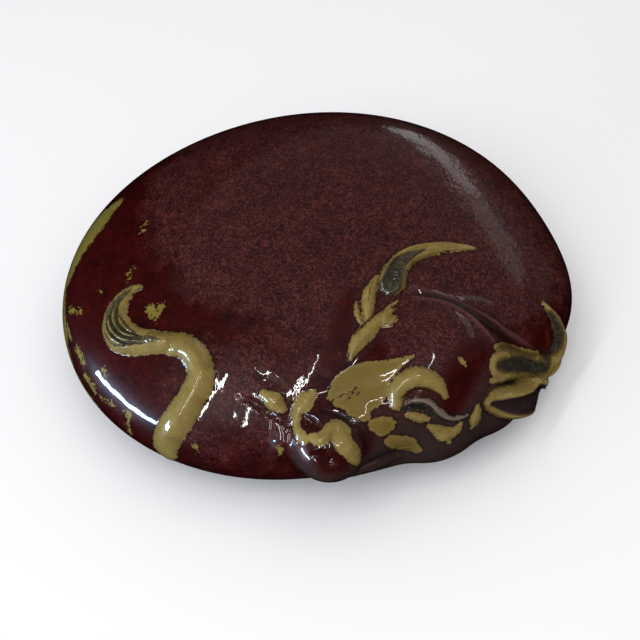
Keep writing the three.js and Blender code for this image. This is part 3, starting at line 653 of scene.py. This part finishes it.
# ------------------------------------------------------------------ materials
class Nodes:
    """A short way to write a shader's nodes."""

    def __init__(self, name):
        self.material = bpy.data.materials.new(name)
        self.material.use_nodes = True
        self.tree = self.material.node_tree
        self.shader = self.tree.nodes["Principled BSDF"]
        place = self.tree.nodes.new("ShaderNodeTexCoord")
        scale = self.tree.nodes.new("ShaderNodeMapping")
        scale.inputs["Scale"].default_value = (1 / MM,) * 3
        self.tree.links.new(place.outputs["Object"], scale.inputs["Vector"])
        self.place = scale.outputs["Vector"]

    def put(self, socket, value):
        if isinstance(value, bpy.types.NodeSocket):
            self.tree.links.new(value, socket)
        elif isinstance(value, tuple) and len(value) == 3 and socket.type == "RGBA":
            socket.default_value = (*value, 1)
        else:
            socket.default_value = value

    def math(self, operation, *values):
        node = self.tree.nodes.new("ShaderNodeMath")
        node.operation = operation
        for socket, value in zip(node.inputs, values):
            self.put(socket, value)
        return node.outputs[0]

    def total(self, *values):
        result = values[0]
        for value in values[1:]:
            result = self.math("ADD", result, value)
        return result

    def weigh(self, *pairs):
        """The sum of values, each times its own share."""
        return self.total(
            *(value if share == 1 else self.math("MULTIPLY", value, share) for value, share in pairs)
        )

    def noise(self, size, detail, warp=0.0, seed=0.0):
        """Noise with features about `size` mm across, centred on zero, from -1 to 1."""
        node = self.tree.nodes.new("ShaderNodeTexNoise")
        node.noise_dimensions = "4D"
        node.inputs["W"].default_value = seed
        self.put(node.inputs["Vector"], self.place)
        node.inputs["Scale"].default_value = 1 / size
        node.inputs["Detail"].default_value = detail
        node.inputs["Roughness"].default_value = 0.55
        node.inputs["Distortion"].default_value = warp
        return self.math("MULTIPLY_ADD", node.outputs["Fac"], 4.0, -2.0)

    def cells(self, size, seed):
        node = self.tree.nodes.new("ShaderNodeTexVoronoi")
        node.voronoi_dimensions = "4D"
        node.inputs["W"].default_value = seed
        self.put(node.inputs["Vector"], self.place)
        node.inputs["Scale"].default_value = 1 / size
        return node.outputs["Color"]

    def step(self, value, low, high):
        node = self.tree.nodes.new("ShaderNodeMapRange")
        node.interpolation_type = "SMOOTHSTEP"
        self.put(node.inputs["Value"], value)
        node.inputs["From Min"].default_value = low
        node.inputs["From Max"].default_value = high
        return node.outputs["Result"]

    def mask(self, name):
        node = self.tree.nodes.new("ShaderNodeAttribute")
        node.attribute_name = name
        return node.outputs["Fac"]

    def area(self, name, low, high, *ragged):
        """0 to 1 over a painted area's edge in mm, made ragged by (noise, share) pairs."""
        return self.step(self.weigh((self.mask(name), 1), *ragged), low, high)

    def lay(self, under, name, edge, share, colour, *ragged):
        """The colour laid over a painted area, at a share of its full strength."""
        cover = self.weigh((self.area(name, *edge, *ragged), share))
        return self.mix(cover, under, colour)

    def mix(self, share, first, second):
        node = self.tree.nodes.new("ShaderNodeMix")
        node.data_type = "RGBA"
        self.put(node.inputs[0], share)
        self.put(node.inputs[6], first)
        self.put(node.inputs[7], second)
        return node.outputs[2]

    def ramp(self, value, *colours):
        """Colours spread evenly from -1 to 1."""
        node = self.tree.nodes.new("ShaderNodeValToRGB")
        elements = node.color_ramp.elements
        while len(elements) < len(colours):
            elements.new(0.5)
        for i, colour in enumerate(colours):
            elements[i].position = i / (len(colours) - 1)
            elements[i].color = (*colour, 1)
        self.put(node.inputs["Fac"], self.math("MULTIPLY_ADD", value, 0.5, 0.5))
        return node.outputs["Color"]

    def bump(self, height_mm):
        node = self.tree.nodes.new("ShaderNodeBump")
        node.inputs["Distance"].default_value = MM
        self.put(node.inputs["Height"], height_mm)
        return node.outputs["Normal"]


def glaze_material(name):
    """Oxblood glaze with a painted reflection of the ceiling over the back, broken to bare ochre and slate
    on the relief.
    """
    n = Nodes(name)
    grain, speck = n.noise(1.25, 3, seed=1), n.noise(0.7, 2, seed=2)
    cloud, sweep = n.noise(7, 3, seed=3), n.noise(26, 3, warp=0.6, seed=4)
    flow = n.math("SUBTRACT", n.cells(1.25, seed=5), 0.5)

    deep = n.ramp(
        n.weigh((cloud, 0.7), (grain, 0.6)),
        (0.006, 0.0006, 0.0005),
        (0.022, 0.0012, 0.0010),
        (0.033, 0.0016, 0.0013),
        (0.060, 0.0030, 0.0021),
    )
    # Colours of the painted sheen, a mottled painted reflection of the ceiling.
    painted_sheen = n.ramp(
        n.weigh((grain, 0.55), (speck, 1.1), (flow, 0.9), (cloud, 0.3)),
        (0.011, 0.0022, 0.0038),
        (0.036, 0.0074, 0.0070),
        (0.096, 0.0240, 0.0185),
    )
    ochre = n.ramp(
        n.weigh((cloud, 0.6), (grain, 0.3)),
        (0.100, 0.066, 0.014),
        (0.195, 0.136, 0.036),
        (0.270, 0.205, 0.070),
    )
    slate = n.ramp(
        n.weigh((grain, 1), (cloud, 0.5)),
        (0.007, 0.007, 0.006),
        (0.019, 0.019, 0.016),
        (0.075, 0.060, 0.028),
    )

    # The glaze: deep red, a painted reflection of the ceiling over the back, a painted grey-brown
    # reflection of the floor low down, then folds and pools.
    not_red = n.math("SUBTRACT", 1.0, n.area("red", -3.5, 3.0, (cloud, 2.2), (grain, 1.4)))
    painted_sheen_cover = n.area("painted_sheen", -7.0, 7.0, (sweep, 9.0), (cloud, 4.0), (grain, 3.0))
    # How far the painted reflection of the floor covers the glaze.
    floor_reflection = n.math("MULTIPLY", n.area("floor_reflection", -8.0, 14.0, (cloud, 3.0), (grain, 1.5)), 0.8)
    glaze = n.mix(n.math("MULTIPLY", painted_sheen_cover, not_red), deep, painted_sheen)
    glaze = n.mix(n.math("MULTIPLY", floor_reflection, not_red), glaze, (0.027, 0.0180, 0.0155))
    glaze = n.lay(glaze, "fold", (-1.0, 1.2), 0.5, (0.125, 0.050, 0.048), (grain, 0.4))
    glaze = n.lay(glaze, "pool", (-1.2, 1.6), 0.75, (0.011, 0.0035, 0.0035), (grain, 0.5))
    glaze = n.lay(glaze, "ember", (-0.8, 1.2), 1, (0.060, 0.006, 0.002), (cloud, 0.8))

    # The bare ochre, with a dark line of thick glaze round it.
    ragged = n.weigh((grain, 0.6), (cloud, 0.45), (speck, 0.3))
    ochre_in = n.total(n.mask("ochre"), ragged)
    shade = n.math("MULTIPLY", n.step(ochre_in, -1.6, -0.2), 0.55)
    glaze = n.mix(shade, glaze, (0.010, 0.0030, 0.0025))
    moss = n.mix(0.6, ochre, (0.110, 0.092, 0.009))
    glaze = n.lay(glaze, "olive", (-0.3, 0.5), 1, moss, (ragged, 3.2))
    edge = n.math("MULTIPLY", n.step(ochre_in, 1.6, 0.2), 0.35)
    body = n.mix(edge, ochre, (0.110, 0.062, 0.016))
    body = n.lay(body, "amber", (-1.2, 2.2), 0.75, (0.110, 0.066, 0.010), (cloud, 1.8), (grain, 0.8))
    body = n.lay(body, "bark", (-0.4, 0.9), 0.8, (0.040, 0.022, 0.006), (grain, 1.2), (speck, 0.7))
    pinholes = n.step(n.math("MULTIPLY", grain, speck), 0.9, 1.25)
    body = n.mix(pinholes, body, (0.045, 0.018, 0.010))
    body = n.lay(body, "pale", (-0.3, 0.8), 0.85, (0.135, 0.100, 0.080))
    colour = n.mix(n.step(ochre_in, -0.25, 0.3), glaze, body)

    # What lies over both.
    colour = n.lay(colour, "dim", (-0.5, 0.9), 0.9, (0.024, 0.0115, 0.0125), (grain, 0.3))
    colour = n.lay(colour, "rust", (-0.3, 0.5), 1, (0.035, 0.007, 0.004), (speck, 0.5), (grain, 0.5))
    colour = n.lay(colour, "slate", (-0.5, 0.5), 0.92, slate, (grain, 0.55), (speck, 0.3))
    n.put(n.shader.inputs["Base Color"], colour)

    n.put(n.shader.inputs["Roughness"], n.math("MULTIPLY_ADD", grain, 0.05, 0.36))
    n.shader.inputs["Specular IOR Level"].default_value = 0.15
    n.shader.inputs["Coat Weight"].default_value = 1.0
    n.shader.inputs["Coat Roughness"].default_value = 0.035
    n.shader.inputs["Coat IOR"].default_value = 1.5

    # Orange peel in the clear surface, in mm, coarser over the back right.
    coarse = n.area("peel", -10.0, 20.0, (cloud, 5.0))
    peel = n.weigh(
        (n.noise(2.4, 1.5, seed=6), n.math("MULTIPLY_ADD", coarse, 0.024, 0.0065)),
        (n.noise(11, 1, seed=7), 0.08),
        (n.math("MULTIPLY", speck, coarse), 0.007),
    )
    normal = n.bump(peel)
    n.put(n.shader.inputs["Normal"], normal)
    n.put(n.shader.inputs["Coat Normal"], normal)
    return n.material


def stoneware_material(name):
    """Bare fired stoneware: buff body, iron specks, fine grain."""
    n = Nodes(name)
    grain, speck, cloud = n.noise(0.8, 3, seed=11), n.noise(0.5, 1, seed=12), n.noise(18, 3, seed=13)
    clay_colour = n.ramp(
        n.weigh((cloud, 0.6), (grain, 0.3)), (0.30, 0.20, 0.13), (0.44, 0.33, 0.23), (0.55, 0.44, 0.33)
    )
    iron = n.step(n.math("MULTIPLY", grain, speck), 0.55, 0.9)
    n.put(n.shader.inputs["Base Color"], n.mix(iron, clay_colour, (0.09, 0.045, 0.025)))
    n.put(n.shader.inputs["Roughness"], n.math("MULTIPLY_ADD", cloud, 0.05, 0.85))
    n.put(n.shader.inputs["Normal"], n.bump(n.math("MULTIPLY", grain, 0.06)))
    return n.material


MATERIALS = {name: glaze_material(name) for name in ("oxblood_glaze", "ochre_glaze")}


# ------------------------------------------------------------------ pieces
class Net:
    """A settled mesh of the clay with its piece labels, normals and masks."""

    def __init__(self, points, faces, label):
        self.points, self.faces, self.label = points, faces, label
        normal = slope(clay, points, 0.12)
        self.normal = normal / np.maximum(np.linalg.norm(normal, axis=1), 1e-6)[:, None]
        self.masks = glaze_masks(points)

    def buried(self, chosen):
        """Points whose faces all belong to the chosen ones, away from the net's open edge."""
        touched = np.zeros(len(self.points), bool)
        touched[self.faces[chosen].ravel()] = True
        touched[self.faces[~chosen].ravel()] = False
        sides = np.sort(np.stack([self.faces, np.roll(self.faces, -1, axis=1)], -1).reshape(-1, 2), 1)
        unique, count = np.unique(sides, axis=0, return_counts=True)
        touched[unique[count == 1].ravel()] = False
        return touched


def lowered(points, field, depth):
    return settle(points, field, -depth, rounds=9, limit=6)


def make_piece(net, node, inner, seat_field):
    """One closed piece: its own skin, seats under what is luted on it, and its own underside."""
    own = net.label == PIECES.index(node)
    carried = np.isin(net.label, [PIECES.index(name) for name in inner])
    places, sources = [net.points], [np.arange(len(net.points))]
    seat_faces = net.faces[carried]
    count = len(net.points)
    faces, smooth = [net.faces[own]], [np.ones(own.sum(), bool)]

    def sunk(chosen, field, depth):
        """Numbers of the chosen faces' points, with the buried ones moved down to a seat."""
        nonlocal count
        deep = np.nonzero(net.buried(chosen))[0]
        number = np.arange(len(net.points))
        number[deep] = count + np.arange(len(deep))
        count += len(deep)
        places.append(lowered(net.points[deep], field, depth))
        sources.append(deep)
        return number

    if carried.any():
        number = sunk(carried, seat_field, SEAT + SEAT_GAP)
        faces.append(number[seat_faces])
        smooth.append(np.zeros(len(seat_faces), bool))
    if node != "body_shell":
        whole = own | carried
        number = sunk(whole, pebble if node == "head" else ground, SEAT)
        faces.append(number[net.faces[whole]][:, ::-1])
        smooth.append(np.zeros(whole.sum(), bool))
    points, source = np.vstack(places), np.concatenate(sources)
    faces, smooth = np.concatenate(faces), np.concatenate(smooth)
    used = np.unique(faces)
    number = np.full(len(points), -1)
    number[used] = np.arange(len(used))
    points, source, faces = points[used], source[used], number[faces]

    mesh = bpy.data.meshes.new(node + "_clay")
    mesh.vertices.add(len(points))
    mesh.vertices.foreach_set("co", (points * MM).ravel())
    mesh.loops.add(faces.size)
    mesh.loops.foreach_set("vertex_index", faces.ravel())
    mesh.polygons.add(len(faces))
    mesh.polygons.foreach_set("loop_start", np.arange(0, faces.size, 4))
    mesh.polygons.foreach_set("loop_total", np.full(len(faces), 4))
    mesh.polygons.foreach_set("use_smooth", np.ones(len(faces), bool))
    mesh.update(calc_edges=True)
    for name, values in net.masks.items():
        mesh.attributes.new(name, "FLOAT", "POINT").data.foreach_set("value", values[source])
    loop_normals = net.normal[source][faces] * smooth[:, None, None]
    mesh.normals_split_custom_set(loop_normals.reshape(-1, 3).tolist())
    piece = bpy.data.objects.new(node + "_clay", mesh)
    bpy.context.scene.collection.objects.link(piece)
    slot = SLOT_OF[node]
    mesh.materials.append(MATERIALS[slot])
    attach(piece, "root")
    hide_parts(node)


OXBLOOD = ("body_shell", "head", "lower_jaw", "near_eyelid")
SLOT_OF = {name: "oxblood_glaze" if name in OXBLOOD else "ochre_glaze" for name in PIECES}

LOW, HIGH = np.array([-128.0, -126.0, -4.0]), np.array([134.0, 118.0, 82.0])
net_points, net_faces = surface_net(clay, LOW, HIGH, NET_PITCH)
net_points = settle(net_points, clay, rounds=2, limit=NET_PITCH * 0.6)
net_label = sort_faces(net_points[net_faces].mean(1))
coarse_net = Net(net_points, net_faces, net_label)
applied = net_label > 0
fine_points, fine_faces, fine_rim = refine(net_points, net_faces[applied])
fresh = np.zeros(len(fine_points), bool)
fresh[len(net_points):] = True
fresh &= ~fine_rim
fine_points[fresh] = settle(fine_points[fresh], clay, rounds=2, limit=0.4)
fine_net = Net(fine_points, fine_faces, np.tile(net_label[applied], 4))

make_piece(coarse_net, "body_shell", PIECES[1:], pebble)
make_piece(fine_net, "head", ON_HEAD, ground)
for member in PIECES[2:]:
    make_piece(fine_net, member, (), ground)

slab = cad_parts["base_slab"]
slab.data.materials.clear()
slab.data.materials.append(stoneware_material("bare_stoneware"))


# ------------------------------------------------------------------ floor, light, camera
FLOOR = 3.0  # half the floor's side, in metres


def floor():
    mesh = bpy.data.meshes.new("floor")
    corners = [(-FLOOR, -FLOOR, 0), (FLOOR, -FLOOR, 0), (FLOOR, FLOOR, 0), (-FLOOR, FLOOR, 0)]
    mesh.from_pydata(corners, [], [(0, 1, 2, 3)])
    plane = bpy.data.objects.new("floor", mesh)
    bpy.context.scene.collection.objects.link(plane)
    paper = Nodes("floor_paper")
    paper.put(paper.shader.inputs["Base Color"], (0.86, 0.85, 0.855))
    paper.shader.inputs["Roughness"].default_value = 0.9
    paper.shader.inputs["Specular IOR Level"].default_value = 0.1
    mesh.materials.append(paper.material)
    plane.visible_glossy = False


CENTRE = Vector((0.0, 0.0, 0.035))


def direction(azimuth, elevation):
    a, e = math.radians(azimuth), math.radians(elevation)
    return Vector((math.cos(a) * math.cos(e), math.sin(a) * math.cos(e), math.sin(e)))


def lamp(name, start, end, distance, width, radiance, colour=(1, 1, 1), in_gloss=True):
    """A flat lamp that faces the object, from one (azimuth, elevation) to another."""
    first, last = direction(*start) * distance, direction(*end) * distance
    towards = ((first + last) / 2).normalized()
    length = (last - first).length
    across = towards.cross(last - first).normalized()
    light = bpy.data.lights.new(name, "AREA")
    light.shape = "RECTANGLE"
    light.size, light.size_y = length, width
    light.energy = radiance * math.pi * width * length
    light.color = colour
    lamp_object = bpy.data.objects.new(name, light)
    bpy.context.scene.collection.objects.link(lamp_object)
    turn = Matrix((across.cross(towards), across, towards)).transposed().to_4x4()
    lamp_object.matrix_world = Matrix.Translation(CENTRE + (first + last) / 2) @ turn
    lamp_object.visible_glossy = in_gloss


def lights():
    lamp("window_left", (-150, 70), (-125, 29), 1.3, 0.028, 42)
    lamp("window_right", (-113, 65), (-108, 34), 1.3, 0.016, 42)
    lamp("skylight", (-90, 62), (-20, 83), 1.3, 0.010, 42)
    lamp("low_window", (-174, 1.5), (-140, 1.5), 1.6, 0.17, 55, (0.50, 0.72, 1.0))
    lamp("side_strip", (79, 0), (60, 24), 1.5, 0.15, 1.0)
    lamp("side_strip_far", (60, 24), (24, 36), 1.5, 0.20, 0.40)
    lamp("ceiling", (50, 10), (62, 88), 1.5, 2.4, 0.06)
    lamp("fill", (-90, 50), (90, 70), 1.5, 1.6, 1.07, in_gloss=False)
    world = bpy.data.worlds.new("studio")
    world.use_nodes = True
    world.node_tree.nodes["Background"].inputs["Color"].default_value = (0.80, 0.79, 0.80, 1)
    world.node_tree.nodes["Background"].inputs["Strength"].default_value = 0.6
    world.cycles_visibility.glossy = False
    bpy.context.scene.world = world


def camera():
    elevation, distance, lens = math.radians(54), 0.560, 66.9
    forward = Vector((0, math.cos(elevation), -math.sin(elevation)))
    up = Vector((0, math.sin(elevation), math.cos(elevation)))
    right = Vector((1, 0, 0))
    shift_right, shift_down = 0.00525, 0.0165
    aim = CENTRE + right * shift_right - up * shift_down
    data = bpy.data.cameras.new("camera")
    data.lens, data.sensor_width = lens, 36
    data.clip_start, data.clip_end = 0.01, 20
    eye = bpy.data.objects.new("camera", data)
    turn = Matrix((right, up, -forward)).transposed().to_4x4()
    eye.matrix_world = Matrix.Translation(aim - forward * distance) @ turn
    bpy.context.scene.collection.objects.link(eye)
    bpy.context.scene.camera = eye
    bpy.context.scene.view_settings.view_transform = "Standard"
    bpy.context.scene.view_settings.look = "None"


floor()
lights()
camera()
